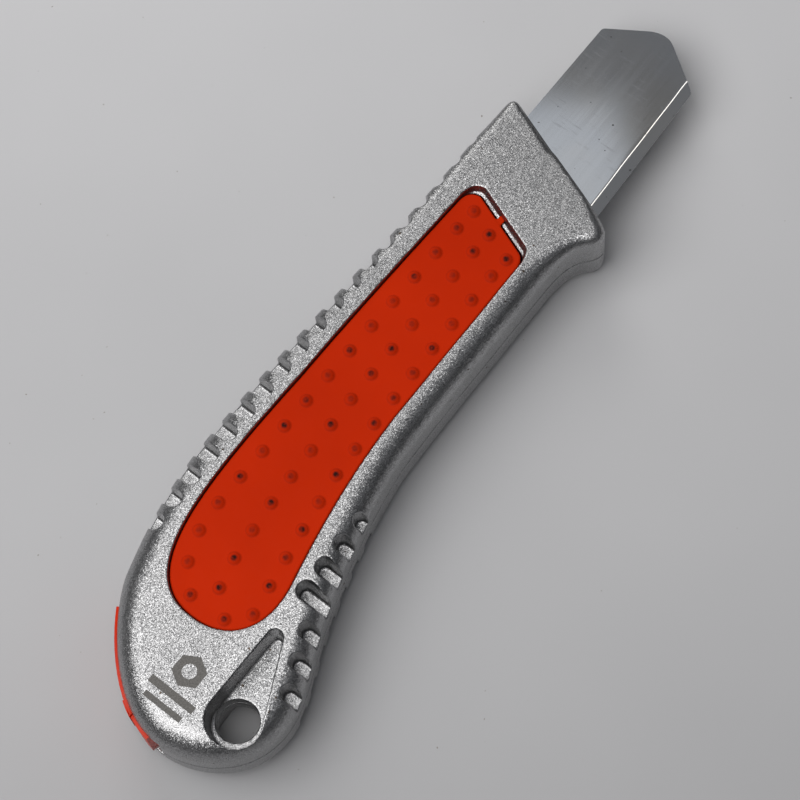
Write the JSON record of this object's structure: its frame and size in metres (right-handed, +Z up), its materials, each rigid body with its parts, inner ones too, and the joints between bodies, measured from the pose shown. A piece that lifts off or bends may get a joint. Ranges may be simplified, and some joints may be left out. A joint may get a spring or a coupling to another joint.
{
  "type": "utility knife",
  "caption": "Metal-bodied utility knife with a sliding wide blade, dimpled rubber grip pads, notched spine, finger slots and a hang hole.",
  "frame": {"origin": "under the middle of the knife's box, on the surface it lies on", "axes": "+X along the blade towards its tip, +Y towards the notched spine, +Z up through the thickness, with the slider's face down"},
  "size_m": [0.1804, 0.0494, 0.019],
  "materials": {
    "silver_casting": "silver sparkle paint over zinc casting",
    "grip_rubber": "satin orange rubber with low domes",
    "blade_steel": "polished steel with fine scratches and a ground bevel",
    "black_plastic": "black moulded plastic",
    "orange_plastic": "orange moulded plastic",
    "spring_steel": "rolled stainless sheet",
    "pin_steel": "drawn steel",
    "screw_steel": "dark zinc-plated steel"
  },
  "bodies": {
    "housing": {"top_shell": "silver_casting", "bottom_shell": "silver_casting", "grip_pad_top": "grip_rubber", "grip_pad_bottom": "grip_rubber", "detent_plate": "spring_steel", "blade_liner": "spring_steel", "latch_pin": "pin_steel", "shell_screw_nose": "screw_steel", "shell_screw_mid": "screw_steel", "shell_screw_tail": "screw_steel", "dowel_pin_front": "pin_steel", "dowel_pin_rear": "pin_steel"},
    "carriage": {"blade": "blade_steel", "blade_carrier": "black_plastic", "blade_pin": "pin_steel", "leaf_spring": "spring_steel", "spring_rivet_1": "pin_steel", "spring_rivet_2": "pin_steel"},
    "button": {"thumb_button": "orange_plastic"},
    "cap": {"end_cap": "orange_plastic"},
    "latch": {"cap_latch": "orange_plastic"}
  },
  "joints": [
    {"name": "blade_slide", "type": "slide", "parent": "housing", "child": "carriage", "axis": [1, 0, 0], "range_m": [-0.04, 0.018]},
    {"name": "button_press", "type": "slide", "parent": "carriage", "child": "button", "axis": [0, 0, 1], "range_m": [0, 0.0008], "stiffness_N_per_m": 2000, "springref_m": -0.0002, "deforming": ["leaf_spring"]},
    {"name": "cap_pull", "type": "slide", "parent": "housing", "child": "cap", "axis": [-1, 0, 0], "range_m": [0, 0.012]},
    {"name": "latch_swing", "type": "hinge", "parent": "housing", "child": "latch", "pos_m": [-0.08642, -0.0079, 0.0095], "axis": [0, 0, 1], "range_deg": [0, 25]}
  ]
}
